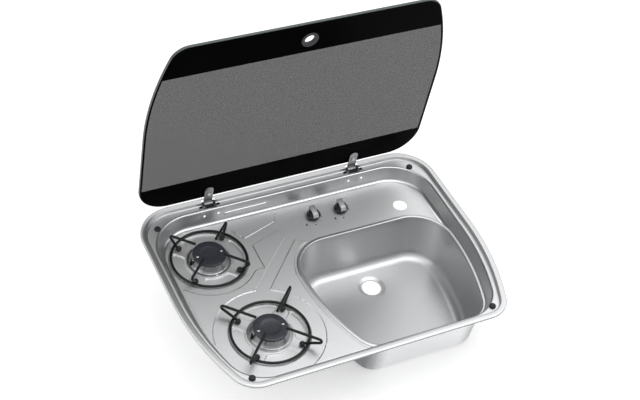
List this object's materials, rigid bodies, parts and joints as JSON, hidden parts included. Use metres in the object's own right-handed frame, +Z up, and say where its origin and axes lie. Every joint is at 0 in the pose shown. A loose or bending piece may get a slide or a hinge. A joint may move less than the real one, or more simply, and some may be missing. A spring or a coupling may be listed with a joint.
{
  "type": "hob and sink unit",
  "caption": "Drop-in gas hob and sink unit: pressed steel top with burner wells, wire pan supports, push-and-turn knobs, a drawn bowl and a hinged glass lid.",
  "frame": {"origin": "middle of the plan on the plane of the worktop, which is the foot of the rim's lip", "axes": "+X to the right, +Y to the hinged rear edge, +Z up out of the worktop"},
  "size_m": [0.6, 0.445, 0.5436],
  "materials": {
    "satin_steel": "satin brushed stainless steel",
    "bright_steel": "bright plated steel",
    "tinted_glass": "toughened glass with a dark screen-printed back",
    "grey_rubber": "soft dark grey rubber",
    "black_rubber": "matt black rubber",
    "black_plastic": "satin black plastic",
    "black_steel": "blackened steel",
    "cast_aluminium": "plain aluminium",
    "black_enamel": "satin black enamel",
    "dark_steel": "heat-darkened steel",
    "zinc_steel": "zinc-plated steel",
    "brass": "plain brass",
    "copper": "drawn copper",
    "silver_finish": "metallised satin plastic"
  },
  "bodies": {
    "unit": {"top_pressing": "satin_steel", "sink_bowl": "satin_steel", "hinge_block_left": "black_plastic", "hinge_block_right": "black_plastic", "hinge_pin_left": "bright_steel", "hinge_pin_right": "bright_steel", "hinge_screws": "black_steel", "lid_buffers": "black_rubber", "burner_screws": "bright_steel", "tap_body_left": "brass", "tap_body_right": "brass", "tap_screws": "bright_steel", "gas_rail": "zinc_steel", "gas_inlet": "brass", "tube_nuts": "brass", "burner_body_front": "cast_aluminium", "burner_cap_front": "black_enamel", "cap_screws_front": "bright_steel", "thermocouple_front": "dark_steel", "jet_holder_front": "zinc_steel", "jet_front": "brass", "pan_support_front": "black_enamel", "support_feet_front": "black_rubber", "supply_tube_front": "cast_aluminium", "thermo_lead_front": "copper", "burner_body_rear": "cast_aluminium", "burner_cap_rear": "black_enamel", "cap_screws_rear": "bright_steel", "thermocouple_rear": "dark_steel", "jet_holder_rear": "zinc_steel", "jet_rear": "brass", "pan_support_rear": "black_enamel", "support_feet_rear": "black_rubber", "supply_tube_rear": "cast_aluminium", "thermo_lead_rear": "copper"},
    "lid": {"glass_lid": "tinted_glass", "finger_grommet": "grey_rubber", "hinge_arm_left": "bright_steel", "hinge_arm_right": "bright_steel", "leaf_pads": "black_rubber", "lid_screws": "bright_steel", "lid_caps": "bright_steel"},
    "left_push": {"plunger_left": "brass"},
    "left_knob": {"spindle_left": "zinc_steel", "knob_left": "black_plastic", "knob_grip_left": "silver_finish"},
    "right_push": {"plunger_right": "brass"},
    "right_knob": {"spindle_right": "zinc_steel", "knob_right": "black_plastic", "knob_grip_right": "silver_finish"}
  },
  "joints": [
    {"name": "lid_hinge", "type": "hinge", "parent": "unit", "child": "lid", "pos_m": [0, 0.2114, -0.004], "axis": [1, 0, 0], "range_deg": [0, 83]},
    {"name": "left_knob_push", "type": "slide", "parent": "unit", "child": "left_push", "axis": [0, 0, -1], "range_m": [0, 0.003], "stiffness_N_per_m": 1500, "springref_m": -0.002},
    {"name": "left_knob_turn", "type": "hinge", "parent": "left_push", "child": "left_knob", "pos_m": [0.0375, 0.14, -0.03], "axis": [0, 0, 1], "range_deg": [0, 200]},
    {"name": "right_knob_push", "type": "slide", "parent": "unit", "child": "right_push", "axis": [0, 0, -1], "range_m": [0, 0.003], "stiffness_N_per_m": 1500, "springref_m": -0.002},
    {"name": "right_knob_turn", "type": "hinge", "parent": "right_push", "child": "right_knob", "pos_m": [0.0955, 0.14, -0.03], "axis": [0, 0, 1], "range_deg": [0, 200]}
  ]
}
